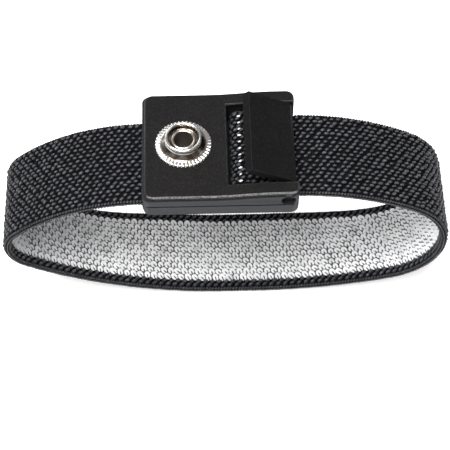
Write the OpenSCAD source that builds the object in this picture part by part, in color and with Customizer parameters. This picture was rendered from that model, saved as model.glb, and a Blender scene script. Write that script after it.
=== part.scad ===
// Adjustable elastic wrist strap with a snap stud and a lever clamp buckle.
// The loop lies on its side: X runs along the buckle, Y along the loop's axis, Z is up.
// Origin: the middle of the bounding box, at the level of the surface the loop rests on.

/* [Band] */
// Width of the knitted band
band_w = 19.5; // [16:0.5:24]
// Thickness of the knitted band
band_t = 1.9; // [1.6:0.1:2.3]
// Width of the plain border beside the conductive lining
border_w = 2.3; // [1:0.1:4]
// Thickness of the conductive lining
lining_t = 0.5; // [0.3:0.05:0.7]
// Thickness of the flat rubber threads inside the band
thread_t = 0.4; // [0.2:0.05:0.5]
// Width of one rubber thread
thread_w = 1.2; // [0.8:0.1:1.5]
// Pitch of the rubber threads across the band
thread_pitch = 2.48; // [2:0.02:3]
// Pitch of the stitches along the hem's crest
stitch_pitch = 1.58; // [1.2:0.01:2.4]

/* [Loop] */
// Half of the loop's overall length
loop_reach = 45.6; // [40:0.5:56]
// Height of the buckle's underside above the rest surface
buckle_height = 34.4; // [28:0.5:42]
// Half length of the flat that the loop rests on
flat_half = 3; // [2:0.5:6]
// Offset of that flat from the middle of the loop
flat_x = 3; // [-4:0.5:4]
// Turn of the lower left arc
low_turn_l = 32; // [20:1:40]
// Turn of the upper left arc
top_turn_l = 44; // [36:1:50]
// Turn of the lower right arc
low_turn_r = 16; // [12:1:30]
// Turn of the upper right arc
top_turn_r = 31; // [26:1:38]

/* [Buckle] */
// Length of the buckle
buckle_l = 30.4; // [28:0.2:38]
// Width of each side rail beside the band's channel
rail_w = 2.9; // [2.1:0.1:4]
// Height of the buckle's top at the stud end over the folded hem
top_room = 1.6; // [1.5:0.1:3]
// Extra thickness at the lever end
buckle_rise = 0.8; // [0.6:0.1:1.2]
// Offset of the buckle's middle from the middle of the loop
buckle_offset = -1.2; // [-4:0.2:4]
// Radius of the upright corners
corner_r = 1.6; // [0.8:0.1:2.2]
// Thickness of the top cover
cover_t = 0.9; // [0.7:0.1:1.2]
// Step from the body's edge in to the cover's edge
cover_step = 0.5; // [0.2:0.1:0.8]
// Height of the base tray
tray_h = 1.6; // [1.4:0.1:1.7]
// Step from the body's sides in to the tray's sides
tray_step = 0.5; // [0.1:0.1:0.8]
// Floor of the tray under the free run of the band
floor_t = 0.5; // [0.3:0.1:0.6]
// Radius of the tray's lower edge at the stud end
heel_r = 1.2; // [0.5:0.1:1.4]
// Depth and width of the groove along the sides
groove = 0.3; // [0.1:0.1:0.5]
// Wall of the hollow body
wall_t = 1.5; // [1:0.1:2]
// Distance from the stud end to the window
window_x = 16.8; // [16.6:0.1:17.4]
// Length of the band's fixed end left short of the window
fixed_short = 1.4; // [1:0.1:2]
// Gap between the folded hem and the edge of the window
hem_gap = 0.5; // [0.3:0.1:0.8]

/* [Lever] */
// How much narrower than the band the lever is on each side
lever_inset = 0.25; // [0.1:0.05:2]
// Thickness of the lever's plate
lever_t = 1.4; // [1:0.1:1.6]
// Distance from the edge of the window to the lip of the shut lever
lip_gap = 1.8; // [1.5:0.1:2.4]
// Angle at which the lever stands
lever_angle = 27; // [0:1:60]
// Distance from the lever end of the buckle to the hinge pin
pivot_inset = 2.1; // [2:0.1:2.6]
// Radius of the hinge pin
pin_r = 0.8; // [0.6:0.02:0.98]
// Wall of the cam barrel round the pin
cam_wall = 0.65; // [0.5:0.05:0.75]
// Width of the shoulder in the recess round each end of the pin
shoulder_w = 0.6; // [0.4:0.05:0.7]
// Depth of that recess
recess_d = 1; // [0.5:0.1:1.3]

/* [Snap] */
// Distance from the stud end of the buckle to the stud
stud_x = 8.2; // [7.5:0.1:9]
// Width of the stud's wall from the eyelet's tube to the rim
stud_wall = 1.4; // [1.2:0.05:1.8]
// Width of the serrated flange round the rim
flange_lap = 2; // [1.6:0.1:2.2]
// Height of the stud
stud_h = 2.85; // [2.4:0.05:3.2]
// Number of serrations round the flange
serrations = 44; // [30:2:60]
// Outer radius of the eyelet's tube
eyelet_r = 2.2; // [1.8:0.02:2.66]
// Wall of the eyelet
eyelet_t = 0.35; // [0.25:0.05:0.45]
// Thickness of the contact plate, which holds the eyelet's flare flush
plate_t = 0.8; // [0.7:0.1:1.2]
// Length of the contact plate
plate_l = 14.6; // [12:0.2:15]
// How far the contact plate reaches past the band on each side
plate_lap = 0.55; // [0.2:0.05:1.5]

/* [Fits] */
// Gap between the band and what it runs in, each side
band_gap = 0.2; // [0.1:0.05:0.4]
// Gap between the lever and the window, each side
lever_gap = 0.2; // [0.15:0.05:0.4]
// Radial running clearance of the lever on its pin
pin_gap = 0.05; // [0.02:0.01:0.09]
// Radial gap round the eyelet
eyelet_gap = 0.1; // [0.05:0.05:0.2]
// Gap between the cam and the band while the lever is open
cam_gap = 0.25; // [0.1:0.05:0.4]
// Gap under the free run of the band
run_gap = 0.5; // [0.3:0.1:0.8]
// Gap under the folded hem
fold_gap = 0.1; // [0.05:0.05:0.2]

/* [Hidden] */
$fn = 64;
over = 1;                                        // how far a cutter runs past a face
right_end = buckle_l;
channel_w = band_w + 2 * band_gap;
buckle_w = channel_w + 2 * rail_w;
fold_r = band_t + 0.05;                          // the hem is folded flat
buckle_t = floor_t + 2 * fold_r + top_room;
body_top = buckle_t - cover_t;
lever_w = band_w - 2 * lever_inset;
window_w = lever_w + 2 * lever_gap;
slope_from = 13.5;                               // the top starts to rise here
slope_to = buckle_l - 4;                         // and levels out here
pivot_x = buckle_l - pivot_inset;
lever_l = pivot_x - window_x - lip_gap;
stud_r = eyelet_r + stud_wall;
flange_r = stud_r + flange_lap;
plate_w = band_w + 2 * plate_lap;

// The band's route. Every point is on its black face, and depth is measured from there.
fixed_level = 1;                                 // black face of the fixed end over the underside
fixed_l = window_x - fixed_short;                // how far the fixed end reaches into the buckle
run_level = floor_t + run_gap + band_t;          // black face of the free run
hem_level = floor_t + fold_gap + 2 * fold_r;     // and where it rises over its own hem
cam_r = pin_r + cam_wall;
pivot_h = run_level + cam_gap + cam_r;
bend_in = 2.5;                                   // radii of the rise
bend_out = bend_in + band_t;
bend_turn = acos(1 - (hem_level - run_level) / (bend_in + bend_out));
bend_l = (bend_in + bend_out) * sin(bend_turn);
run_l = pivot_inset + cam_r + 0.35;              // level part under the cam, and a little past it
fold_x = window_x + hem_gap + fold_r;
upper_l = right_end - run_l - bend_l - fold_x;
hem_l = upper_l - 0.2;                           // the hem's raw edge stays short of the rise

// Three radii of one half of the loop, from where it must start, reach and end.
function rise3(turns) = [
    [sin(turns[0]), sin(turns[0]), 1 - cos(turns[0])],
    [1 - sin(turns[0]), sin(turns[0] + turns[1]) - sin(turns[0]), cos(turns[0]) - cos(turns[0] + turns[1])],
    [0, -sin(turns[0] + turns[1]), cos(turns[0] + turns[1]) + 1]
];
function radii(turns, reach, end_x, end_z) =
    let (m = rise3(turns), b = [reach, end_x, end_z], det = m[0] * cross(m[1], m[2]))
    [b * cross(m[1], m[2]), m[0] * cross(b, m[2]), m[0] * cross(m[1], b)] / det;

buckle_x = buckle_offset - buckle_l / 2;
turns_l = [low_turn_l, 180 - low_turn_l - top_turn_l, top_turn_l];
turns_r = [low_turn_r, 180 - low_turn_r - top_turn_r, top_turn_r];
radii_l = radii(turns_l, loop_reach + flat_x - flat_half, flat_x - flat_half - buckle_x,
    buckle_height + fixed_level);
radii_r = radii(turns_r, loop_reach - flat_x - flat_half, buckle_x + buckle_l - flat_x - flat_half,
    buckle_height + run_level);

// Steps of the route: [length, 0] goes straight, [radius, turn] bends, left turns positive.
route = [
    [fixed_l, 0],
    [radii_l[2], turns_l[2]], [radii_l[1], turns_l[1]], [radii_l[0], turns_l[0]],
    [2 * flat_half, 0],
    [radii_r[0], turns_r[0]], [radii_r[1], turns_r[1]], [radii_r[2], turns_r[2]],
    [run_l, 0],
    [bend_in, -bend_turn], [bend_out, bend_turn],
    [upper_l, 0],
    [fold_r, 180],
    [hem_l, 0]
];
route_start = [buckle_x + fixed_l, buckle_height + fixed_level, 180];

// Where a step ends, as [x, z, heading].
function after(s, step) =
    step[1] == 0
    ? [s[0] + step[0] * cos(s[2]), s[1] + step[0] * sin(s[2]), s[2]]
    : let (r = step[0] * sign(step[1]), h = s[2] + step[1])
      [s[0] + r * (sin(h) - sin(s[2])), s[1] - r * (cos(h) - cos(s[2])), h];
function state(i) = i == 0 ? route_start : after(state(i - 1), route[i - 1]);
function part_of(step, f) = step[1] == 0 ? [step[0] * f, 0] : [step[0], step[1] * f];
function at_depth(s, d) = [s[0] - d * sin(s[2]), s[1] + d * cos(s[2])];
bend_step = 6;                                   // degrees between stations on a bend
stations = [route_start, for (i = [0 : len(route) - 1])
    let (n = max(1, ceil(abs(route[i][1]) / bend_step)))
    for (k = [1 : n]) after(state(i), part_of(route[i], k / n))];

module at_buckle() { translate([buckle_x, 0, buckle_height]) children(); }
module at_pivot() { at_buckle() translate([pivot_x, 0, pivot_h]) children(); }
module at_stud(z = 0) { at_buckle() translate([stud_x, 0, z]) children(); }

// Part of the band between two depths, extruded across from y0 to y0 + w.
module ribbon(d0, d1, w, y0) {
    translate([0, y0 + w, 0]) rotate([90, 0, 0]) linear_extrude(w)
        polygon(concat([for (s = stations) at_depth(s, d0)],
            [for (i = [len(stations) - 1 : -1 : 0]) at_depth(stations[i], d1)]));
}

// The hole that the eyelet needs through the fixed end.
module eyelet_hole() {
    at_stud(-band_t - over) cylinder(r = eyelet_r + eyelet_gap, h = band_t + fixed_level + 2 * over);
}

lining_w = band_w - 2 * border_w;
lining_d = band_t - lining_t;                     // depth of the lining's hidden side
thread_d = lining_d - thread_t;                   // and of the threads'

module elastic_band() {
    color("#1b1b1d") difference() {
        union() {
            ribbon(0, thread_d, band_w, -band_w / 2);
            ribbon(thread_d, band_t, border_w, -band_w / 2);
            ribbon(thread_d, band_t, border_w, lining_w / 2);
        }
        eyelet_hole();
    }
}

module conductive_lining() {
    color("#c9cacc") difference() {
        ribbon(lining_d, band_t, lining_w, -lining_w / 2);
        eyelet_hole();
    }
}

module rubber_threads() {
    count = floor(lining_w / thread_pitch);
    color("#3a3632") difference() {
        for (i = [0 : count - 1])
            ribbon(thread_d, lining_d, thread_w, (i - (count - 1) / 2) * thread_pitch - thread_w / 2);
        eyelet_hole();
    }
}

// Stitches that show along the crest of the folded hem.
module hem_stitches() {
    stitch_r = 0.18;
    stitch_l = 0.7;
    side_gap = 1.8;                               // plain band left at each side of the row
    count = 1 + floor((band_w - 2 * side_gap) / stitch_pitch);
    color("#d8d8da") for (i = [0 : count - 1])
        at_buckle() translate([fold_x, (i - (count - 1) / 2) * stitch_pitch, hem_level + stitch_r])
            rotate([0, 90, 0]) cylinder(r = stitch_r, h = stitch_l);
}

// Height of the buckle's top at x: level, then a soft rise to the lever end.
function top_at(x) =
    let (u = max(0, min(1, (x - slope_from) / (slope_to - slope_from))))
    buckle_t + buckle_rise * u * u * (3 - 2 * u);
top_steps = 14;
function top_line(x0, drop) = [
    [x0, buckle_t - drop],
    for (i = [0 : top_steps]) let (x = slope_from + (slope_to - slope_from) * i / top_steps)
        [x, top_at(x) - drop],
    [right_end, buckle_t + buckle_rise - drop]
];

module side_profile(points, w) {
    translate([0, w / 2, 0]) rotate([90, 0, 0]) linear_extrude(w) polygon(points);
}

// Outline of the buckle from above, with round upright corners.
module plan(x0, w, h) {
    l = right_end - x0;
    r = corner_r;
    translate([x0, 0, 0]) {
        translate([r, -w / 2, 0]) cube([l - 2 * r, w, h]);
        translate([0, -w / 2 + r, 0]) cube([l, w - 2 * r, h]);
        for (x = [r, l - r], y = [r - w / 2, w / 2 - r]) translate([x, y, 0]) cylinder(r = r, h = h);
    }
}

module window(from_z, w) {
    translate([window_x, -w / 2, from_z]) cube([right_end - window_x + over, w, 3 * buckle_t]);
}

module top_cover() {
    lower = top_line(cover_step, cover_t);
    upper = top_line(cover_step, 0);
    color("#2a282a") at_buckle() difference() {
        intersection() {
            side_profile(concat(lower, [for (i = [len(upper) - 1 : -1 : 0]) upper[i]]), buckle_w);
            plan(cover_step, buckle_w - 2 * groove, 2 * buckle_t);
        }
        window(0, window_w);
        translate([stud_x, 0, 0]) cylinder(r = eyelet_r + eyelet_gap, h = 2 * buckle_t);
    }
}

module buckle_body() {
    pocket_l = window_x - 2 * wall_t;
    pocket_w = buckle_w - 2 * (wall_t + groove);
    boss_r = eyelet_r + 1.8;
    groove_z = tray_h + 1.6;
    color("#34373b") at_buckle() difference() {
        intersection() {
            side_profile(concat([[0, tray_h]], top_line(0, cover_t), [[right_end, tray_h]]), buckle_w);
            plan(0, buckle_w, 2 * buckle_t);
        }
        // hollow round the boss of the stud
        difference() {
            translate([wall_t, -pocket_w / 2, tray_h - over]) cube([pocket_l, pocket_w, body_top - tray_h + 2 * over]);
            translate([stud_x, 0, 0]) cylinder(r = boss_r, h = 2 * buckle_t);
            translate([wall_t - over, -wall_t / 2, 0]) cube([pocket_l + 2 * over, wall_t, 2 * buckle_t]);
        }
        translate([stud_x, 0, 0]) cylinder(r = eyelet_r + eyelet_gap, h = 2 * buckle_t);
        window(0, channel_w);
        // grooves along both sides
        for (side = [-1, 1])
            translate([-over, side * buckle_w / 2 - groove, groove_z])
                cube([right_end + 2 * over, 2 * groove, groove]);
        translate([pivot_x, 0, pivot_h]) rotate([90, 0, 0]) {
            cylinder(r = pin_r, h = buckle_w + over, center = true);
            for (side = [-1, 1])
                translate([0, 0, side * buckle_w / 2])
                    cylinder(r = pin_r + shoulder_w, h = 2 * recess_d, center = true);
        }
    }
}

module base_tray() {
    heel_steps = 6;
    heel = [for (i = [0 : heel_steps]) let (a = 180 + 90 * i / heel_steps)
        [heel_r + heel_r * cos(a), heel_r + heel_r * sin(a)]];
    color("#303337") at_buckle() difference() {
        intersection() {
            side_profile(concat([[0, tray_h]], heel, [[right_end, 0], [right_end, tray_h]]), buckle_w);
            plan(0, buckle_w - 2 * tray_step, buckle_t);
        }
        // the fixed end lies in the underside, the free run on the floor
        translate([-over, -channel_w / 2, -over]) cube([fixed_l + over + band_gap, channel_w, fixed_level + over]);
        translate([window_x, -channel_w / 2, floor_t]) cube([right_end, channel_w, buckle_t]);
        translate([stud_x, 0, -over]) cylinder(r = eyelet_r + eyelet_gap, h = 2 * buckle_t);
    }
}

foot = fixed_level - band_t - plate_t;            // underside of the contact plate
flare_r = eyelet_r + 1.1;                         // the eyelet's flare under it
flare_d = eyelet_t + 0.05;                        // and the recess that the flare lies in

// The band's fixed end is held between the tray and this plate, which touches the skin.
module contact_plate() {
    r = 2;
    end_lap = 0.4;                                // reach past the band's end
    stud_at = stud_x - fixed_l + plate_l - end_lap;
    color("#b9bbbe") at_buckle() translate([fixed_l - plate_l + end_lap, 0, foot])
        difference() {
            union() {
                translate([r, -plate_w / 2, 0]) cube([plate_l - 2 * r, plate_w, plate_t]);
                translate([0, -plate_w / 2 + r, 0]) cube([plate_l, plate_w - 2 * r, plate_t]);
                for (x = [r, plate_l - r], y = [r - plate_w / 2, plate_w / 2 - r])
                    translate([x, y, 0]) cylinder(r = r, h = plate_t);
            }
            translate([stud_at, 0, -over]) cylinder(r = eyelet_r + eyelet_gap, h = plate_t + 2 * over);
            translate([stud_at, 0, -over]) cylinder(r = flare_r + eyelet_gap, h = over + flare_d);
        }
}

seat_h = stud_h - 1.5;                            // seat of the eyelet's curl inside the stud
curl_r = 0.35;

module snap_stud() {
    tooth = 0.32;
    color("#c8c6c2") at_stud(buckle_t) difference() {
        rotate_extrude() polygon([
            [eyelet_r + eyelet_gap, 0], [flange_r, 0], [flange_r, 0.4], [flange_r - 0.3, 0.6],
            [flange_r - 1, 0.6], [stud_r + 0.45, 0.95], [stud_r, 1.5], [stud_r - 0.15, 1.8],
            [stud_r, 2.05], [stud_r, stud_h - 0.2], [stud_r - 0.2, stud_h],
            [stud_r - 0.35, stud_h], [stud_r - 0.55, stud_h - 0.2], [stud_r - 0.6, seat_h],
            [eyelet_r + eyelet_gap, seat_h]
        ]);
        for (i = [0 : serrations - 1])
            rotate([0, 0, i * 360 / serrations]) translate([flange_r, 0, 0.6])
                rotate([0, 0, 45]) cube([tooth, tooth, 0.7], center = true);
    }
}

module snap_eyelet() {
    bore_r = eyelet_r - eyelet_t;
    top = buckle_t + seat_h;
    flare_z = foot + flare_d - eyelet_t;
    color("#b8a88c") at_stud() difference() {
        union() {
            translate([0, 0, flare_z]) cylinder(r = eyelet_r, h = top + curl_r - flare_z);
            translate([0, 0, flare_z]) cylinder(r = flare_r, h = eyelet_t);
            translate([0, 0, top + curl_r]) rotate_extrude() translate([eyelet_r - 0.05, 0]) circle(r = curl_r);
        }
        translate([0, 0, foot - over]) cylinder(r = bore_r, h = 2 * buckle_t);
        // two splits in the curl
        for (a = [85, 170])
            rotate([0, 0, a]) translate([bore_r + 0.2, -0.08, top + 0.25]) cube([over, 0.16, over]);
    }
}

module clamp_lever() {
    top_h = buckle_t + buckle_rise - pivot_h;
    lip_h = top_h - lever_t;
    lip_in = 0.7;
    teeth = 5;
    color("#212123") at_pivot() rotate([0, lever_angle, 0]) difference() {
        union() {
            side_profile([[-lever_l, lip_h], [lip_in - lever_l, top_h], [0.2, top_h], [0.9, top_h - 0.35],
                [cam_r, 0.5], [cam_r, 0], [0, 0], [-cam_r, 0.2], [-cam_r - 0.4, lip_h]], lever_w);
            rotate([90, 0, 0]) cylinder(r = cam_r, h = lever_w, center = true);
        }
        rotate([90, 0, 0]) cylinder(r = pin_r + pin_gap, h = lever_w + over, center = true);
        // gripping teeth along the foot of the cam
        for (i = [0 : teeth - 1])
            rotate([0, 20 + i * 26, 0]) translate([0, 0, -cam_r]) rotate([0, 45, 0])
                cube([0.28, lever_w + over, 0.28], center = true);
    }
}

module hinge_pin() {
    color("#8f9194") at_pivot() rotate([90, 0, 0])
        cylinder(r = pin_r, h = buckle_w - 2 * recess_d, center = true);
}

elastic_band();
conductive_lining();
rubber_threads();
hem_stitches();
top_cover();
buckle_body();
base_tray();
contact_plate();
snap_stud();
snap_eyelet();
clamp_lever();
hinge_pin();
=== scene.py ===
# Elastic wrist strap with a snap stud and a lever clamp buckle
import math

import bmesh
import bpy
import numpy as np
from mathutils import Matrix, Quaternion, Vector


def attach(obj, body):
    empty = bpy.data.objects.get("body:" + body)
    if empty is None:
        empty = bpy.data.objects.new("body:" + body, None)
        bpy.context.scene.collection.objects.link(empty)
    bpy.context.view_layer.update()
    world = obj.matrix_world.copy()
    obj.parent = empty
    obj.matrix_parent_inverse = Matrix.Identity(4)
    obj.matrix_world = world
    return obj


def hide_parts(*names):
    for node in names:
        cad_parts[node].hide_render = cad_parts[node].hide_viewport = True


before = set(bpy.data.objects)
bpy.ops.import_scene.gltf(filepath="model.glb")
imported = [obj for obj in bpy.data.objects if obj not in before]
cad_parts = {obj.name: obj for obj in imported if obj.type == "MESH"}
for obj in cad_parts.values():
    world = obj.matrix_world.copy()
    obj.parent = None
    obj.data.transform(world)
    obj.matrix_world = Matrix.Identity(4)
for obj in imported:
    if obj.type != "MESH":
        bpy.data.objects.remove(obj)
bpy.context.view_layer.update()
scene = bpy.context.scene
mm = 0.001


# shader helpers
class Value:  # a node's output that can be used in sums
    def __init__(self, shader, socket):
        self.shader, self.socket = shader, socket

    def math(self, operation, *values):
        return self.shader.add("Math", {"operation": operation}, dict(enumerate(values)))

    def __add__(self, other):
        return self.math("ADD", self, other)

    def __sub__(self, other):
        return self.math("SUBTRACT", self, other)

    def __rsub__(self, other):
        return self.math("SUBTRACT", other, self)

    def __mul__(self, other):
        return self.math("MULTIPLY", self, other)

    def __pow__(self, other):
        return self.math("POWER", self, other)

    __radd__ = __add__
    __rmul__ = __mul__


class Shader:  # a material being made
    def __init__(self, name):
        self.material = bpy.data.materials.new(name)
        self.material.use_nodes = True
        self.tree = self.material.node_tree
        self.tree.nodes.clear()

    def add(self, kind, settings={}, inputs={}, output=0):
        node = self.tree.nodes.new("ShaderNode" + kind)
        for key, value in settings.items():
            setattr(node, key, value)
        for key, value in inputs.items():
            if isinstance(value, Value):
                self.tree.links.new(value.socket, node.inputs[key])
            else:
                node.inputs[key].default_value = value
        return Value(self, node.outputs[output]) if node.outputs else node

    def place(self, kind="Object"):  # where on the piece
        return self.add("TexCoord", output=kind)

    def stretched(self, place, scale, turn=(0, 0, 0)):
        return self.add("Mapping", inputs={"Vector": place, "Scale": scale, "Rotation": turn})

    def noise(self, place, size, detail=2.0, roughness=0.5):
        return self.add("TexNoise", inputs={
            "Vector": place, "Scale": 1 / size, "Detail": detail, "Roughness": roughness})

    def ranged(self, value, low, high, newLow, newHigh):
        return self.add("MapRange", {"interpolation_type": "SMOOTHSTEP"}, {
            "Value": value, "From Min": low, "From Max": high, "To Min": newLow, "To Max": newHigh})

    def mixed(self, factor, a, b):
        return self.add("Mix", {"data_type": "RGBA"}, {0: factor, 6: colour(a), 7: colour(b)}, 2)

    def bump(self, height, depth):
        return self.add("Bump", inputs={"Height": height, "Distance": depth, "Strength": 1.0})

    def surface(self, **inputs):
        named = {key.replace("_", " "): value for key, value in inputs.items()}
        bsdf = self.add("BsdfPrincipled", inputs=named)
        self.add("OutputMaterial", inputs={"Surface": bsdf})
        return self.material


def colour(c):
    return c if isinstance(c, Value) else (*c, 1)


# the band's run, from the fixed end under the buckle round to the folded hem
band = {
    "width": 19.5 * mm, "thickness": 1.9 * mm, "border": 2.3 * mm,
    "reach": 45.6 * mm, "flatHalf": 3 * mm, "flatX": 3 * mm,
    "leftTurns": (32, 104, 44), "rightTurns": (16, 133, 31),
    "buckleX": -16.4 * mm, "buckleZ": 34.4 * mm, "buckleLength": 30.4 * mm,
    "fixedLevel": 1 * mm, "fixedLength": 15.4 * mm, "runLevel": 2.9 * mm, "hemLevel": 4.5 * mm,
    "runLength": 3.9 * mm, "bendIn": 2.5 * mm, "foldRadius": 1.95 * mm, "foldX": 19.25 * mm,
    "hemShort": 0.2 * mm,
}
sag = {"drop": 2.6 * mm, "x": 29 * mm, "half": 19 * mm, "from": 22.4 * mm, "over": 14 * mm,
       "clear": 0.1 * mm}  # the lower run's back edge hangs lower at each side
snapAxis = {"x": -8.2 * mm, "top": 40.4 * mm}  # the stud's seat on the cover


def arcRadii(turns, reach, endX, endZ):
    a, b = math.radians(turns[0]), math.radians(turns[0] + turns[1])
    rows = [
        [math.sin(a), 1 - math.sin(a), 0],
        [math.sin(a), math.sin(b) - math.sin(a), -math.sin(b)],
        [1 - math.cos(a), math.cos(a) - math.cos(b), math.cos(b) + 1],
    ]
    return np.linalg.solve(rows, [reach, endX, endZ])


def bandSteps(b):
    leftX = b["flatX"] - b["flatHalf"] - b["buckleX"]
    rightX = b["buckleX"] + b["buckleLength"] - b["flatX"] - b["flatHalf"]
    left = arcRadii(b["leftTurns"], b["reach"] + b["flatX"] - b["flatHalf"], leftX,
                    b["buckleZ"] + b["fixedLevel"])
    right = arcRadii(b["rightTurns"], b["reach"] - b["flatX"] - b["flatHalf"], rightX,
                     b["buckleZ"] + b["runLevel"])
    bendOut = b["bendIn"] + b["thickness"]
    bend = math.degrees(math.acos(1 - (b["hemLevel"] - b["runLevel"]) / (b["bendIn"] + bendOut)))
    upper = (b["buckleLength"] - b["runLength"] - b["foldX"]
             - (b["bendIn"] + bendOut) * math.sin(math.radians(bend)))
    return (
        [(b["fixedLength"], 0)]
        + [(left[i], b["leftTurns"][i]) for i in (2, 1, 0)]
        + [(2 * b["flatHalf"], 0)]
        + [(right[i], b["rightTurns"][i]) for i in (0, 1, 2)]
        + [(b["runLength"], 0), (b["bendIn"], -bend), (bendOut, bend), (upper, 0),
           (b["foldRadius"], 180), (upper - b["hemShort"], 0)]
    )


steps = bandSteps(band)
stepLengths = [s[0] if s[1] == 0 else s[0] * math.radians(abs(s[1])) for s in steps]
stepStarts = np.concatenate([[0], np.cumsum(stepLengths)])
bandLength = float(stepStarts[-1])
mouth, foldEnd = stepStarts[8], stepStarts[13]  # where the band enters the buckle, and where its fold ends


def walked(state, step, share):
    x, z, h = state
    size, turn = step
    if turn == 0:
        return x + size * share * math.cos(h), z + size * share * math.sin(h), h
    r, after = math.copysign(size, turn), h + math.radians(turn) * share
    return x + r * (math.sin(after) - math.sin(h)), z - r * (math.cos(after) - math.cos(h)), after


stepStates = [(band["buckleX"] + band["fixedLength"], band["buckleZ"] + band["fixedLevel"], math.pi)]
for step in steps:
    stepStates.append(walked(stepStates[-1], step, 1))


def onBand(s, y, depth):  # a point in the band, and its heading
    i = int(np.clip(np.searchsorted(stepStarts, s, "right") - 1, 0, len(steps) - 1))
    x, z, h = walked(stepStates[i], steps[i], (s - stepStarts[i]) / stepLengths[i])
    away = min(1, abs(abs(x) - sag["x"]) / sag["half"])
    low = min(1, max(0, (sag["from"] - z) / sag["over"]))
    fall = sag["drop"] * math.cos(away * math.pi / 2) ** 2 * low
    room = max(0, z - sag["clear"])
    z = z - fall * room / math.hypot(fall, room, 0.01 * mm) * (0.5 + y / band["width"])
    return (x - depth * math.sin(h), y, z + depth * math.cos(h)), h


print("band run worked out:", round(bandLength, 4), "m")


# finishes
def knitBlack(name, yarnTone, highlightTone):
    look = {"yarn": yarnTone, "pale": highlightTone, "fibre": 0.26 * mm}
    m = Shader(name)
    spot = m.place()
    shade = m.add("Attribute", {"attribute_name": "shade"}, output=2)
    crown = m.add("Attribute", {"attribute_name": "crown"}, output=2)  # 1 on top of a stitch
    fibre = m.noise(spot, look["fibre"], 3, 0.65)
    paintedGlint = m.ranged(fibre, 0.5, 0.6, 0.03, 1)  # painted glints: small pale specks
    # painted highlight: the top of each stitch is mixed towards the pale tone as if lit from above, varied
    # by the glints and a random tone
    top = m.ranged(crown, 0.62, 0.97, 0, 1)
    base = m.mixed(top * (paintedGlint * 0.7 + shade * 0.15 + 0.15), look["yarn"], look["pale"])
    return m.surface(Base_Color=base, Roughness=0.6 - fibre * 0.3, Specular_IOR_Level=0.2,
                     Normal=m.bump(fibre, 0.09 * mm))


def knitSilver():
    look = {"yarn": (0.95, 0.955, 0.965), "dull": (0.38, 0.39, 0.405), "fibre": 0.13 * mm,
            "shadeX": -30 * mm, "shadeOver": 12 * mm}
    m = Shader("silverYarn")
    spot = m.place()
    shade = m.add("Attribute", {"attribute_name": "shade"}, output=2)
    crown = m.add("Attribute", {"attribute_name": "crown"}, output=2)
    fibre = m.noise(m.stretched(spot, (1, 2, 1)), look["fibre"], 3, 0.6)
    patch = m.noise(spot, 2.4 * mm, 2, 0.5)
    # painted shade: the low parts of each loop, down between the stitches, are mixed towards the dull tone
    low = m.ranged(crown, 0.1, 0.75, 0.9, 0)
    x = m.add("SeparateXYZ", inputs={"Vector": spot})
    # painted shade: the lining darkens towards its left end, where the band's own wall shades it
    leftEndShade = m.ranged(x, look["shadeX"] - look["shadeOver"], look["shadeX"] + look["shadeOver"], 0.5, 0)
    worn = m.ranged(fibre, 0.5, 0.7, 0, 0.4) + m.ranged(patch, 0.5, 0.75, 0, 0.3)
    base = m.mixed(low + leftEndShade + shade * 0.15 + worn, look["yarn"], look["dull"])
    return m.surface(Base_Color=base, Roughness=fibre * 0.25 + 0.45, Specular_IOR_Level=0.45,
                     Normal=m.bump(fibre, 0.1 * mm))


def ground(name, tone, warp):
    look = {"tone": tone, "warp": warp, "pitch": 1.45 * mm}
    m = Shader(name)
    spot = m.place("UV")  # metres along and across the band
    wave = m.add("TexWave", {"wave_type": "BANDS", "bands_direction": "DIAGONAL"},
                 {"Vector": spot, "Scale": 0.31 / look["pitch"], "Distortion": 2.0, "Detail Scale": 3.0}, 1)
    grain = m.noise(spot, 0.3 * mm, 3, 0.6)
    return m.surface(Base_Color=m.mixed(wave * 0.6 + grain * 0.3, look["tone"], look["warp"]),
                     Roughness=grain * 0.3 + 0.6, Specular_IOR_Level=0.05,
                     Normal=m.bump(wave + grain, 0.15 * mm))


def plastic(name, tone, scuffAndSheenTone, rough, grainDepth, shine=0.18, lipHighlight=0.0):
    look = {"tone": tone, "scuffAndSheenTone": scuffAndSheenTone, "rough": rough, "grain": 0.28 * mm, "cloud": 5 * mm,
            "frontY": -12.3 * mm, "lip": 0.5 * mm}
    m = Shader(name)
    spot = m.place()
    grain = m.noise(spot, look["grain"], 2, 0.55)
    cloud = m.noise(spot, look["cloud"], 3, 0.6)
    scratch = m.noise(m.stretched(spot, (0.25, 2.5, 1), (0, 0, 0.5)), 0.5 * mm, 3, 0.7)
    y = m.add("SeparateXYZ", inputs={"Vector": spot}, output=1)
    # painted highlight: a lighter band along the front lip, the edge that faces the light, broken up by the
    # grain
    lip = m.ranged(y, look["frontY"], look["frontY"] + look["lip"], lipHighlight, 0)
    lip = lip * m.ranged(grain, 0.4, 0.6, 0.3, 1)
    scuffAndSheen = m.ranged(scratch, 0.62, 0.8, 0, 0.25) + m.ranged(grain, 0.5, 0.7, 0, 0.16) + cloud * 0.06 + lip
    return m.surface(Base_Color=m.mixed(scuffAndSheen, look["tone"], look["scuffAndSheenTone"]),
                     Roughness=grain * 0.14 + (look["rough"] - 0.07),
                     Specular_IOR_Level=shine, Normal=m.bump(grain, grainDepth))


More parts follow.
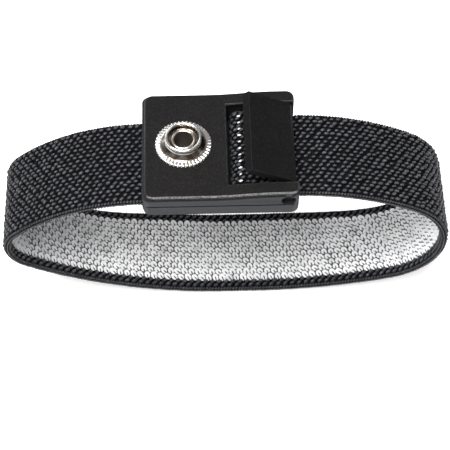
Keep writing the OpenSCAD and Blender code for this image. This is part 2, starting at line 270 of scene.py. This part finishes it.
def nickel(name, tone, tarnishAndReflection):
    look = {"tone": tone, "tarnishAndReflection": tarnishAndReflection, "boreShade": (0.14, 0.124, 0.108), "cloud": 1.3 * mm,
            "curlInside": (3.02 * mm, 3.12 * mm), "curlHeight": (2.2 * mm, 2.75 * mm),
            "neckInside": (3.5 * mm, 3.62 * mm), "neckOutside": (4.3 * mm, 4.75 * mm),
            "neckHeight": (1.5 * mm, 1.95 * mm), "boreEdge": (1.9 * mm, 2.0 * mm)}  # where each painted dark reflection, and the bore's painted shade, fades
    m = Shader(name)
    spot = m.place()
    parts = m.add("SeparateXYZ", inputs={"Vector": spot})
    x, y, z = (Value(m, parts.socket.node.outputs[i]) for i in range(3))
    x, z = x - snapAxis["x"], z - snapAxis["top"]
    radius = (x * x + y * y) ** 0.5
    cloud = m.noise(spot, look["cloud"], 3, 0.55)
    scratch = m.noise(m.stretched(spot, (0.3, 3, 1)), 0.2 * mm, 2, 0.6)
    # painted dark reflection: the curl's inside and the neck under the rim are mixed towards the brown
    # tone, standing for dark surroundings mirrored there; the cloud adds a random real tarnish
    inside = m.ranged(radius, *look["curlInside"], 1, 0) * m.ranged(z, *look["curlHeight"], 1, 0)
    neck = m.ranged(radius, *look["neckInside"], 0, 1) * m.ranged(radius, *look["neckOutside"], 1, 0)
    neck = neck * m.ranged(z, *look["neckHeight"], 1, 0)
    # painted shade: the bore is a dark brown, standing for the shade down the hole
    boreShade = m.ranged(radius, *look["boreEdge"], 1, 0)
    stainAndReflection = (inside * 0.9 + neck * 0.9) * m.ranged(cloud, 0.3, 0.6, 0.6, 1)
    stainAndReflection = stainAndReflection + m.ranged(cloud, 0.5, 0.8, 0, 0.3)
    face = m.mixed(stainAndReflection, look["tone"], look["tarnishAndReflection"])
    return m.surface(Base_Color=m.mixed(boreShade, face, look["boreShade"]), Metallic=1.0,
                     Roughness=cloud * 0.1 + scratch * 0.06 + 0.12 + boreShade * 0.45,
                     Normal=m.bump(scratch, 0.004 * mm))


def brushed(name, tone, dark):
    look = {"tone": tone, "dark": dark, "line": 0.12 * mm}
    m = Shader(name)
    spot = m.place()
    line = m.noise(m.stretched(spot, (6, 0.15, 1)), look["line"] * 4, 4, 0.7)
    return m.surface(Base_Color=m.mixed(line, look["tone"], look["dark"]), Metallic=1.0,
                     Roughness=line * 0.2 + 0.22, Normal=m.bump(line, 0.01 * mm))


def rubber():
    look = {"tone": (0.03, 0.027, 0.024), "pale": (0.08, 0.07, 0.062), "grain": 0.3 * mm}
    m = Shader("rubberThread")
    grain = m.noise(m.place(), look["grain"], 3, 0.6)
    return m.surface(Base_Color=m.mixed(grain, look["tone"], look["pale"]),
                     Roughness=grain * 0.2 + 0.55, Normal=m.bump(grain, 0.03 * mm))


blackYarn = knitBlack("blackYarn", (0.009, 0.0095, 0.0115), (0.135, 0.140, 0.153))
edgeYarn = knitBlack("edgeYarn", (0.007, 0.0075, 0.009), (0.10, 0.104, 0.113))
greyYarn = knitBlack("greyYarn", (0.02, 0.0205, 0.022), (0.26, 0.266, 0.28))
silverYarn = knitSilver()
# painted shade: both ground cloths are much darker than the yarn over them, so the gaps between stitches
# read as shaded; the black one is also the band's own black
blackGround = ground("blackGround", (0.0015, 0.0015, 0.002), (0.008, 0.008, 0.009))
greyGround = ground("greyGround", (0.03, 0.03, 0.032), (0.14, 0.14, 0.144))
coverPlastic = plastic("coverPlastic", (0.0050, 0.0046, 0.0047), (0.06, 0.058, 0.058), 0.5, 0.05 * mm, 0.09)
# partly painted light: the housing's tone is lighter than the cover's, partly its own tone and partly the
# front light on its side faces
bodyPlastic = plastic("bodyPlastic", (0.0105, 0.012, 0.015), (0.08, 0.083, 0.09), 0.44, 0.02 * mm, 0.15)
leverPlastic = plastic("leverPlastic", (0.0035, 0.0035, 0.0038), (0.05, 0.05, 0.05), 0.58, 0.05 * mm, 0.05)
# painted highlight: these lighter plastics go on the bevel faces, so the rounded edges of lever, tray and
# cover read as lit; the cover's also carries scuffs
leverEdge = plastic("leverEdge", (0.020, 0.020, 0.020), (0.12, 0.12, 0.12), 0.4, 0.03 * mm, 0.3)
bodyEdge = plastic("bodyEdge", (0.030, 0.031, 0.034), (0.16, 0.16, 0.165), 0.4, 0.03 * mm, 0.3)
edgeScuffAndSheen = plastic("edgeScuffAndSheen", (0.008, 0.008, 0.008), (0.20, 0.20, 0.20), 0.42, 0.03 * mm,
                        0.15, 0.7)
studNickel = nickel("studNickel", (0.84, 0.83, 0.81), (0.13, 0.098, 0.068))
eyeletNickel = nickel("eyeletNickel", (0.84, 0.82, 0.78), (0.70, 0.64, 0.54))
brushedSteel = brushed("brushedSteel", (0.60, 0.60, 0.59), (0.42, 0.42, 0.41))
darkSteel = brushed("darkSteel", (0.06, 0.06, 0.062), (0.02, 0.02, 0.02))
rubberThread = rubber()
print("finishes made")


# the band's ground cloth and its rubber threads: closed ribbons, pierced by the eyelet
def ribbon(name, fromS, toS, outlines, gap, material):  # each outline: (y, depth) points round the section
    lines = [fromS]
    for start, step, length in zip(stepStarts, steps, stepLengths):
        count = max(2, round(length / gap)) if step[1] else 2
        lines += [start + length * k / count for k in range(1, count + 1)]
    lines = sorted({round(s, 7) for s in lines if fromS <= s <= toS} | {fromS, toS})
    made = bmesh.new()
    uvs = made.loops.layers.uv.new("run")
    for outline in outlines:
        rings = [[made.verts.new(onBand(s, y, d)[0]) for y, d in outline] for s in lines]
        for i in range(len(rings) - 1):
            for j in range(len(outline)):
                k = (j + 1) % len(outline)
                face = made.faces.new([rings[i][j], rings[i + 1][j], rings[i + 1][k], rings[i][k]])
                for loop, (s, at) in zip(face.loops, [(i, j), (i + 1, j), (i + 1, k), (i, k)]):
                    loop[uvs].uv = (lines[s], outline[at][0])
                face.smooth = True
        for ring in (rings[0], rings[-1]):
            made.faces.new(ring)
    bmesh.ops.recalc_face_normals(made, faces=made.faces)
    mesh = bpy.data.meshes.new(name)
    made.to_mesh(mesh)
    made.free()
    mesh.materials.append(material)
    piece = bpy.data.objects.new(name, mesh)
    scene.collection.objects.link(piece)
    hole = piece.modifiers.new("eyeletHole", "BOOLEAN")
    hole.operation, hole.solver, hole.object = "DIFFERENCE", "EXACT", punch
    piece.data = bpy.data.meshes.new_from_object(piece.evaluated_get(bpy.context.evaluated_depsgraph_get()))
    piece.data.name = name
    piece.modifiers.remove(hole)
    return piece


def roundedOutline(halfWidth, top, bottom, corner, n=4):
    points = []
    for cy, cd, a0 in ((halfWidth - corner, top + corner, -90), (halfWidth - corner, bottom - corner, 0),
                       (corner - halfWidth, bottom - corner, 90), (corner - halfWidth, top + corner, 180)):
        for k in range(n + 1):
            a = math.radians(a0 + 90 * k / n)
            points.append((cy + corner * math.cos(a), cd + corner * math.sin(a)))
    return points


eyeletHole = {"z": 36.4 * mm, "radius": 2.3 * mm, "depth": 8 * mm}
punchShape = bmesh.new()
bmesh.ops.create_cone(punchShape, cap_ends=True, segments=48, radius1=eyeletHole["radius"],
                      radius2=eyeletHole["radius"], depth=eyeletHole["depth"])
bmesh.ops.translate(punchShape, vec=(snapAxis["x"], 0, eyeletHole["z"]), verts=punchShape.verts)
punchMesh = bpy.data.meshes.new("eyelet_punch")
punchShape.to_mesh(punchMesh)
punchShape.free()
punch = bpy.data.objects.new("eyelet_punch", punchMesh)
scene.collection.objects.link(punch)

cloth = {"half": band["width"] / 2 - 0.3 * mm, "top": 0.55 * mm, "bottom": 1.42 * mm,
         "corner": 0.4 * mm, "gap": 0.6 * mm}  # gap is the distance between rings along the run
backing = {"half": band["width"] / 2 - band["border"] - 0.5 * mm, "top": 1.2 * mm, "bottom": 1.5 * mm,
           "corner": 0.1 * mm, "gap": 0.6 * mm, "short": 0.2 * mm}
threads = {"count": 6, "pitch": 2.48 * mm, "width": 1.2 * mm, "top": 1.0 * mm, "bottom": 1.4 * mm,
           "corner": 0.1 * mm, "gap": 1.2 * mm, "short": 0.1 * mm}
clothOutline = roundedOutline(cloth["half"], cloth["top"], cloth["bottom"], cloth["corner"])
backingOutline = roundedOutline(backing["half"], backing["top"], backing["bottom"], backing["corner"], 1)
groundCloth = ribbon("band_ground", 0, bandLength, [clothOutline], cloth["gap"], blackGround)
liningCloth = ribbon("lining_ground", backing["short"], bandLength - backing["short"], [backingOutline],
                     backing["gap"], greyGround)
threadLines = []
for i in range(threads["count"]):
    middle = (i - (threads["count"] - 1) / 2) * threads["pitch"]
    threadLines.append([(middle + y, d) for y, d in roundedOutline(
        threads["width"] / 2, threads["top"], threads["bottom"], threads["corner"], 2)])
rubberThreads = ribbon("rubber_lines", threads["short"], bandLength - threads["short"], threadLines,
                       threads["gap"], rubberThread)
bpy.data.objects.remove(punch)
print("ground cloth made")


# stitches, by geometry nodes: one stitch shape put on points that carry their directions
class NodeTree:
    def __init__(self, name):
        self.group = bpy.data.node_groups.new(name, "GeometryNodeTree")
        self.sockets = self.group.interface
        self.sockets.new_socket("Geometry", in_out="INPUT", socket_type="NodeSocketGeometry")
        self.sockets.new_socket("Geometry", in_out="OUTPUT", socket_type="NodeSocketGeometry")
        self.names = {}
        self.start = None

    def takes(self, **kinds):
        for name, kind in kinds.items():
            socket = self.sockets.new_socket(name, in_out="INPUT", socket_type="NodeSocket" + kind)
            self.names[name] = socket.identifier
        self.start = self.group.nodes.new("NodeGroupInput")

    def given(self, name):
        return self.start.outputs[name]

    def add(self, kind, settings={}, inputs={}, output=0):
        node = self.group.nodes.new(kind)
        for key, value in settings.items():
            setattr(node, key, value)
        for key, value in inputs.items():
            if isinstance(value, bpy.types.NodeSocket):
                self.group.links.new(value, node.inputs[key])
            else:
                node.inputs[key].default_value = value
        return node.outputs[output]

    def sum(self, operation, *values):
        return self.add("ShaderNodeMath", {"operation": operation}, dict(enumerate(values)))


def stitchTree(name, shape):
    t = NodeTree(name)
    t.takes(length="Float", width="Float", height="Float", lean="Float", tilt="Float",
            wobble="Float", uneven="Float", seed="Int", yarn="Material")
    one = shape(t)
    where = t.add("ShaderNodeSeparateXYZ", inputs={0: t.add("GeometryNodeInputPosition")}, output=2)
    crown = t.sum("ADD", 0.5, t.sum("DIVIDE", where, t.given("height")))
    one = t.add("GeometryNodeStoreNamedAttribute", {"data_type": "FLOAT", "domain": "POINT"},
                {"Geometry": one, "Name": "crown", "Value": crown})
    one = t.add("GeometryNodeSetShadeSmooth", inputs={"Geometry": one})
    along = t.add("GeometryNodeInputNamedAttribute", {"data_type": "FLOAT_VECTOR"}, {"Name": "along"})
    out = t.add("GeometryNodeInputNamedAttribute", {"data_type": "FLOAT_VECTOR"}, {"Name": "out"})
    facing = t.add("FunctionNodeAxesToRotation", {"primary_axis": "Z", "secondary_axis": "X"},
                   {0: out, 1: along})
    leanChance = t.add("FunctionNodeRandomValue", {"data_type": "FLOAT"},
                       {"Min": -1.0, "Max": 1.0, "Seed": t.given("seed")}, 1)
    lean = t.sum("ADD", t.given("lean"), t.sum("MULTIPLY", leanChance, t.given("wobble")))
    turn = t.add("ShaderNodeCombineXYZ", inputs={1: t.given("tilt"), 2: lean})
    turned = t.add("FunctionNodeRotateRotation", {"rotation_space": "LOCAL"},
                   {0: facing, 1: t.add("FunctionNodeEulerToRotation", inputs={0: turn})})
    sizeChance = t.add("FunctionNodeRandomValue", {"data_type": "FLOAT"},
                       {"Min": -1.0, "Max": 1.0, "Seed": t.sum("ADD", t.given("seed"), 7.0)}, 1)
    size = t.sum("ADD", 1.0, t.sum("MULTIPLY", sizeChance, t.given("uneven")))
    placed = t.add("GeometryNodeInstanceOnPoints", inputs={
        "Points": t.start.outputs[0], "Instance": one, "Rotation": turned, "Scale": size})
    shade = t.add("FunctionNodeRandomValue", {"data_type": "FLOAT"},
                  {"Seed": t.sum("ADD", t.given("seed"), 13.0)}, 1)
    marked = t.add("GeometryNodeStoreNamedAttribute", {"data_type": "FLOAT", "domain": "INSTANCE"},
                   {"Geometry": placed, "Name": "shade", "Value": shade})
    real = t.add("GeometryNodeRealizeInstances", inputs={"Geometry": marked})
    done = t.add("GeometryNodeSetMaterial", inputs={"Geometry": real, "Material": t.given("yarn")})
    end = t.group.nodes.new("NodeGroupOutput")
    t.group.links.new(done, end.inputs[0])
    return t


def grainShape(t):  # a plump grain of yarn
    ball = t.add("GeometryNodeMeshUVSphere", inputs={"Segments": 7, "Rings": 5, "Radius": 0.5})
    flat = t.add("GeometryNodeTransform", inputs={
        "Geometry": ball, "Rotation": (0, math.pi / 2, 0)})
    size = t.add("ShaderNodeCombineXYZ",
                 inputs={0: t.given("length"), 1: t.given("width"), 2: t.given("height")})
    return t.add("GeometryNodeTransform", inputs={"Geometry": flat, "Scale": size})


def archShape(t):  # one knitted loop, its feet tucked under the next row
    loop = {"foot": -0.48, "crown": 0.76, "low": -0.45, "high": 0.35, "feet": 0.45, "spread": 1.5}
    halfWide = t.sum("MULTIPLY", t.given("width"), 0.5)
    foot = t.sum("MULTIPLY", t.given("length"), loop["foot"])
    low = t.sum("MULTIPLY", t.given("height"), loop["low"])
    high = t.sum("MULTIPLY", t.given("height"), loop["high"])
    crown = t.sum("MULTIPLY", t.given("length"), loop["crown"])
    left = t.sum("MULTIPLY", halfWide, -loop["feet"])
    wide = t.sum("MULTIPLY", halfWide, loop["spread"])
    points = [(left, foot, low), (t.sum("MULTIPLY", wide, -1.0), crown, high), (wide, crown, high),
              (t.sum("MULTIPLY", halfWide, loop["feet"]), foot, low)]
    ends = [t.add("ShaderNodeCombineXYZ", inputs=dict(enumerate(p))) for p in points]
    arch = t.add("GeometryNodeCurvePrimitiveBezierSegment", {"mode": "POSITION"}, {
        "Resolution": 7, "Start": ends[0], "Start Handle": ends[1], "End Handle": ends[2], "End": ends[3]})
    yarn = t.add("GeometryNodeCurvePrimitiveCircle", inputs={
        "Resolution": 5, "Radius": t.sum("MULTIPLY", t.given("height"), 0.5)})
    return t.add("GeometryNodeCurveToMesh",
                 inputs={"Curve": arch, "Profile Curve": yarn, "Fill Caps": True})


grainTree, archTree = stitchTree("grainStitches", grainShape), stitchTree("loopStitches", archShape)


def stitched(name, tree, points, sizes, yarn):  # points: (place, along, out)
    mesh = bpy.data.meshes.new(name + "_points")
    mesh.from_pydata([p[0] for p in points], [], [])
    for kind, i in (("along", 1), ("out", 2)):
        attribute = mesh.attributes.new(kind, "FLOAT_VECTOR", "POINT")
        attribute.data.foreach_set("vector", np.array([p[i] for p in points], np.float32).ravel())
    host = bpy.data.objects.new(name + "_points", mesh)
    scene.collection.objects.link(host)
    modifier = host.modifiers.new("stitches", "NODES")
    modifier.node_group = tree.group
    for key, value in {**sizes, "yarn": yarn}.items():
        modifier[tree.names[key]] = value
    result = bpy.data.meshes.new_from_object(host.evaluated_get(bpy.context.evaluated_depsgraph_get()))
    host.modifiers.remove(modifier)
    bpy.data.objects.remove(host)
    result.name = name
    piece = bpy.data.objects.new(name, result)
    scene.collection.objects.link(piece)
    triangles = sum(len(p.vertices) - 2 for p in result.polygons)
    print("stitched", name, len(points), "stitches,", triangles, "triangles")
    return piece


def faceOf(s, y, depth, out=1, side=0.0):
    # out 1 faces away from the wrist, -1 towards it; side turns that towards the band's edge
    place, h = onBand(s, y, depth)
    up = Vector((math.sin(h), 0, -math.cos(h))) * out
    edge = Vector((0, math.copysign(1, y), 0))
    normal = up * math.cos(side) + edge * math.sin(side)
    return place, (math.cos(h), 0, math.sin(h)), tuple(normal)


chance = np.random.default_rng(41)
outer = {"pitch": 1.44 * mm, "rows": 19, "astray": 0.09 * mm, "rowGap": 0.965 * mm,
         "from": 15.2 * mm, "level": 0.34 * mm, "past": 0.2 * mm}  # past the fold's end
outerEnd = foldEnd + outer["past"]
outerPoints = []
for row in range(outer["rows"]):
    y = (row - (outer["rows"] - 1) / 2) * outer["rowGap"]
    s = outer["from"] + (row % 2) * outer["pitch"] / 2
    while s < outerEnd:
        shiftS, shiftY = chance.normal(0, outer["astray"], 2)
        outerPoints.append(faceOf(s + shiftS, y + shiftY, outer["level"]))
        s += outer["pitch"]
outerKnit = stitched("band_outer_knit", grainTree, outerPoints, {
    "length": 1.12 * mm, "width": 0.76 * mm, "height": 0.9 * mm, "lean": math.radians(14),
    "tilt": math.radians(8), "wobble": math.radians(24), "uneven": 0.17, "seed": 3}, blackYarn)

edge = {"pitch": 0.64 * mm, "radius": 0.58 * mm, "centreY": 9.0 * mm, "centreDepth": 0.93 * mm,
        "outerAngle": 40, "innerAngle": 140, "offset": 0.4 * mm}
selvageLine = {"angle": 92, "pitch": 0.5 * mm, "radius": 0.66 * mm}


def edgeRow(angle, pitch, radius, offset=0.0):
    points, a = [], math.radians(angle)
    for sign in (-1, 1):
        s = outer["from"] + offset
        while s < outerEnd:
            points.append(faceOf(s, sign * (edge["centreY"] + radius * math.sin(a)),
                                 edge["centreDepth"] - radius * math.cos(a), 1, a))
            s += pitch
    return points


edgePoints = (edgeRow(edge["outerAngle"], edge["pitch"], edge["radius"])
              + edgeRow(edge["innerAngle"], edge["pitch"], edge["radius"], edge["offset"]))
edgeKnit = stitched("band_edge_knit", grainTree, edgePoints, {
    "length": 0.72 * mm, "width": 0.5 * mm, "height": 0.56 * mm, "lean": math.radians(35),
    "tilt": 0.0, "wobble": math.radians(12), "uneven": 0.12, "seed": 11}, edgeYarn)
selvagePoints = edgeRow(selvageLine["angle"], selvageLine["pitch"], selvageLine["radius"])
selvage = stitched("band_selvage", grainTree, selvagePoints, {
    "length": 0.62 * mm, "width": 0.2 * mm, "height": 0.3 * mm, "lean": math.radians(14),
    "tilt": 0.0, "wobble": math.radians(5), "uneven": 0.1, "seed": 29}, greyYarn)

border = {"pitch": 1.5 * mm, "rows": (7.8 * mm, 8.65 * mm), "level": 1.5 * mm, "past": 1 * mm}
innerEnd = mouth + border["past"]  # just inside the buckle, for the lining too
borderPoints = []
for sign in (-1, 1):
    for k, y in enumerate(border["rows"]):
        s = outer["from"] + k * border["pitch"] / 2
        while s < innerEnd:
            borderPoints.append(faceOf(s, sign * y, border["level"], -1))
            s += border["pitch"]
borderKnit = stitched("band_border_knit", grainTree, borderPoints, {
    "length": 1.35 * mm, "width": 0.74 * mm, "height": 0.72 * mm, "lean": math.radians(44),
    "tilt": math.radians(10), "wobble": math.radians(8), "uneven": 0.09, "seed": 17}, blackYarn)

lining = {"pitch": 1.5 * mm, "rowGap": 1.36 * mm, "rows": 11, "from": 15.9 * mm, "level": 1.46 * mm,
          "shift": 0.05 * mm}
liningPoints = []
for row in range(lining["rows"]):
    y = (row - (lining["rows"] - 1) / 2) * lining["rowGap"] + lining["shift"]
    s = lining["from"] + (row % 2) * lining["pitch"] / 2
    while s < innerEnd:
        liningPoints.append(faceOf(s, y, lining["level"], -1))
        s += lining["pitch"]
liningKnit = stitched("lining_knit", archTree, liningPoints, {
    "length": 1.4 * mm, "width": 1.12 * mm, "height": 0.7 * mm, "lean": math.radians(30),
    "tilt": 0.0, "wobble": math.radians(18), "uneven": 0.1, "seed": 23}, silverYarn)

hem = {"count": 11, "pitch": 1.58 * mm, "x": 2.85 * mm, "z": 39.05 * mm}
hemPoints = [((hem["x"], (i - (hem["count"] - 1) / 2) * hem["pitch"], hem["z"]), (1, 0, 0), (0, 0, 1))
             for i in range(hem["count"])]
hemThread = stitched("hem_thread", grainTree, hemPoints, {
    "length": 0.75 * mm, "width": 0.42 * mm, "height": 0.36 * mm, "lean": math.radians(20),
    "tilt": 0.0, "wobble": math.radians(25), "uneven": 0.2, "seed": 5}, silverYarn)
print("band stitched")


# moulded and pressed pieces: the design's own solids with their edges rounded
# worn is the bevel faces' material: a lighter plastic that paints a highlight on the rounded edges, on the
# cover also scuffed
def eased(node, name, width, material, worn=None, segments=3, angle=32):
    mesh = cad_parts[node].data.copy()
    mesh.name = name
    shape = bmesh.new()
    shape.from_mesh(mesh)
    bmesh.ops.remove_doubles(shape, verts=shape.verts, dist=0.002 * mm)
    bmesh.ops.dissolve_limit(shape, angle_limit=math.radians(1), verts=shape.verts, edges=shape.edges)
    for face in shape.faces:
        face.smooth = True
    shape.to_mesh(mesh)
    shape.free()
    mesh.set_sharp_from_angle(angle=math.radians(angle))
    mesh.materials.clear()
    mesh.materials.append(material)
    mesh.materials.append(worn or material)
    piece = bpy.data.objects.new(name, mesh)
    scene.collection.objects.link(piece)
    bevel = piece.modifiers.new("easedEdges", "BEVEL")
    bevel.material = 1
    bevel.width, bevel.segments, bevel.limit_method = width, segments, "ANGLE"
    bevel.angle_limit, bevel.use_clamp_overlap = math.radians(angle), True
    bevel.harden_normals = True
    return piece


cover = eased("top_cover", "cover_shell", 0.32 * mm, coverPlastic, edgeScuffAndSheen)
body = eased("buckle_body", "body_shell", 0.14 * mm, bodyPlastic)
tray = eased("base_tray", "tray_shell", 0.25 * mm, bodyPlastic, bodyEdge)
lever = eased("clamp_lever", "lever_arm", 0.2 * mm, leverPlastic, leverEdge)
plate = eased("contact_plate", "skin_plate", 0.12 * mm, brushedSteel)
print("plastic eased")


# the snap, turned round its axis
snap = {"teeth": 44, "around": 352, "corner": 0.09 * mm,
        "toothDepth": 0.2 * mm, "toothFrom": 4.6 * mm, "flange": 5.6 * mm, "toothLow": 0.3 * mm,
        "splits": (1.48, 2.97), "splitWide": 0.16, "splitDeep": 0.22 * mm,
        "curlRadius": 2.4, "curlInner": 2.15 * mm, "curlLow": 1.45 * mm}


def turned(name, profile, bumps, material, smoothing=3):
    points = [Vector((r, z)) for r, z in profile]
    line = []
    for i, p in enumerate(points):  # each corner is cut into a short curve
        before, after = points[i - 1], points[(i + 1) % len(points)]
        reach = min(snap["corner"], (before - p).length * 0.4, (after - p).length * 0.4)
        a, b = p + (before - p).normalized() * reach, p + (after - p).normalized() * reach
        for k in range(smoothing + 1):
            t = k / smoothing
            line.append(a * (1 - t) ** 2 + p * 2 * t * (1 - t) + b * t ** 2)
    made = bmesh.new()
    rings = []
    for k in range(snap["around"]):
        turn = 2 * math.pi * k / snap["around"]
        rings.append([])
        for p in line:
            r, z = bumps(p.x, p.y, turn)
            place = (snapAxis["x"] + r * math.cos(turn), r * math.sin(turn), snapAxis["top"] + z)
            rings[-1].append(made.verts.new(place))
    for k in range(len(rings)):
        a, b = rings[k], rings[(k + 1) % len(rings)]
        for j in range(len(line)):
            i = (j + 1) % len(line)
            made.faces.new([a[j], b[j], b[i], a[i]]).smooth = True
    bmesh.ops.recalc_face_normals(made, faces=made.faces)
    mesh = bpy.data.meshes.new(name)
    made.to_mesh(mesh)
    made.free()
    mesh.materials.append(material)
    piece = bpy.data.objects.new(name, mesh)
    scene.collection.objects.link(piece)
    return piece


def pressedTeeth(r, z, turn):
    share = (r - snap["toothFrom"]) / (snap["flange"] - snap["toothFrom"])
    if z < snap["toothLow"] or share <= 0:
        return r, z
    wave = (0.5 - 0.5 * math.cos(turn * snap["teeth"])) ** 3  # narrow cuts between flat teeth
    cut = snap["toothDepth"] * min(1, share * 1.8) * wave
    return r - cut * 0.5 * (share > 0.75), z - cut


def splitCurl(r, z, turn):  # the curl is cracked in two places
    for at in snap["splits"]:
        off = abs((turn - at + math.pi) % (2 * math.pi) - math.pi) * snap["curlRadius"]
        if z > snap["curlLow"] and off < snap["splitWide"] and r > snap["curlInner"]:
            return r, z - snap["splitDeep"] * (1 - off / snap["splitWide"])
    return r, z


# radius and height in mm, outside first and then back up the inside
studProfile = [(2.3, 0), (5.55, 0), (5.6, 0.14), (5.6, 0.4), (5.45, 0.58), (4.7, 0.62), (4.35, 0.66),
               (4.08, 0.92), (3.72, 1.3), (3.5, 1.55), (3.42, 1.8), (3.55, 2.05), (3.6, 2.3),
               (3.6, 2.6), (3.5, 2.78), (3.3, 2.85), (3.12, 2.78), (3.05, 2.55), (3.0, 2.0),
               (3.0, 1.4), (2.9, 1.35), (2.3, 1.35)]
eyeletProfile = [(1.85, -7.65), (3.28, -7.65), (3.3, -7.55), (3.3, -7.3), (2.2, -7.3), (2.2, 1.38),
                 (2.36, 1.42), (2.48, 1.58), (2.5, 1.74), (2.42, 1.92), (2.26, 2.02), (2.1, 2.03),
                 (1.94, 1.94), (1.86, 1.78)]
stud = turned("stud_cap", [(r * mm, z * mm) for r, z in studProfile], pressedTeeth, studNickel)
eyelet = turned("eyelet_tube", [(r * mm, z * mm) for r, z in eyeletProfile], splitCurl, eyeletNickel)
print("snap turned")

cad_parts["hinge_pin"].data.materials.clear()
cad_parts["hinge_pin"].data.materials.append(darkSteel)

# what rides on what
for piece, node, bodyName, slot in (
        (groundCloth, "elastic_band", "root", "black_knit"),
        (liningCloth, "conductive_lining", "root", "silver_knit"),
        (hemThread, "hem_stitches", "root", "stitch_thread"),
        (rubberThreads, "rubber_threads", "root", "rubber_core"),
        (cover, "top_cover", "root", "cover_plastic"),
        (body, "buckle_body", "root", "body_plastic"), (tray, "base_tray", "root", "body_plastic"),
        (lever, "clamp_lever", "lever", "lever_plastic"), (plate, "contact_plate", "root", "stainless"),
        (stud, "snap_stud", "root", "nickel_plate"), (eyelet, "snap_eyelet", "root", "nickel_plate")):
    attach(piece, bodyName)
    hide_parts(node)
for piece, slot in ((outerKnit, "black_knit"), (edgeKnit, "black_knit"), (selvage, "black_knit"),
                    (borderKnit, "black_knit"), (liningKnit, "silver_knit")):
    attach(piece, "root")


# table, lights and camera
def paleTable():
    look = {"tone": (0.92, 0.92, 0.92), "glow": 0.6, "grain": 2 * mm}
    m = Shader("paleTable")
    grain = m.noise(m.place(), look["grain"], 2, 0.5)
    return m.surface(Base_Color=colour(look["tone"]), Roughness=grain * 0.1 + 0.8,
                     Specular_IOR_Level=0.2, Emission_Color=colour((1, 1, 1)),
                     Emission_Strength=look["glow"])


tableTop = {"half": 2, "drop": 0.12 * mm}  # drop is how far it lies below the CAD's floor, for the stitches
tableCorners = [(x * tableTop["half"], y * tableTop["half"], 0)
                for x, y in ((-1, -1), (1, -1), (1, 1), (-1, 1))]
tableMesh = bpy.data.meshes.new("table")
tableMesh.from_pydata(tableCorners, [], [(0, 1, 2, 3)])
tableMesh.materials.append(paleTable())
table = bpy.data.objects.new("table", tableMesh)
scene.collection.objects.link(table)
table.location.z = -tableTop["drop"]

lamps = {
    "overhead": {"at": (-0.12, -0.12, 0.60), "size": 0.45, "power": 7.4, "tone": (1.0, 0.99, 0.98)},
    "right": {"at": (0.55, 0.05, 0.35), "size": 0.30, "power": 0.3, "tone": (1.0, 0.98, 0.95)},
    "back": {"at": (-0.25, 0.55, 0.40), "size": 0.30, "power": 0.8, "tone": (0.96, 0.98, 1.0)},
}
lampAim = Vector((0, 0, 0.02))
for name, lamp in lamps.items():
    light = bpy.data.objects.new(name, bpy.data.lights.new(name, "AREA"))
    light.data.size, light.data.energy, light.data.color = lamp["size"], lamp["power"], lamp["tone"]
    light.location = lamp["at"]
    light.rotation_mode = "QUATERNION"
    light.rotation_quaternion = (lampAim - Vector(lamp["at"])).to_track_quat("-Z", "Y")
    scene.collection.objects.link(light)
surround = {"tone": (0.29, 0.283, 0.28), "strength": 1.0}
scene.world = bpy.data.worlds.new("room")
scene.world.use_nodes = True
room = scene.world.node_tree.nodes["Background"]
room.inputs["Color"].default_value = colour(surround["tone"])
room.inputs["Strength"].default_value = surround["strength"]
scene.view_settings.view_transform = "Standard"

eye = {"azimuth": 1.7, "elevation": 56.5, "roll": 0.2, "distance": 320 * mm,
       "lookAt": (0, 0, 11.7 * mm), "angle": 16.95}
camera = bpy.data.objects.new("camera", bpy.data.cameras.new("camera"))
scene.collection.objects.link(camera)
a, e = math.radians(eye["azimuth"]), math.radians(eye["elevation"])
away = Vector((-math.sin(a) * math.cos(e), -math.cos(a) * math.cos(e), math.sin(e)))
camera.location = Vector(eye["lookAt"]) + away * eye["distance"]
camera.rotation_mode = "QUATERNION"
aim = (-away).to_track_quat("-Z", "Y")
camera.rotation_quaternion = aim @ Quaternion((0, 0, 1), math.radians(eye["roll"]))
camera.data.angle = math.radians(eye["angle"])
camera.data.clip_start, camera.data.clip_end = 0.01, 10
scene.camera = camera
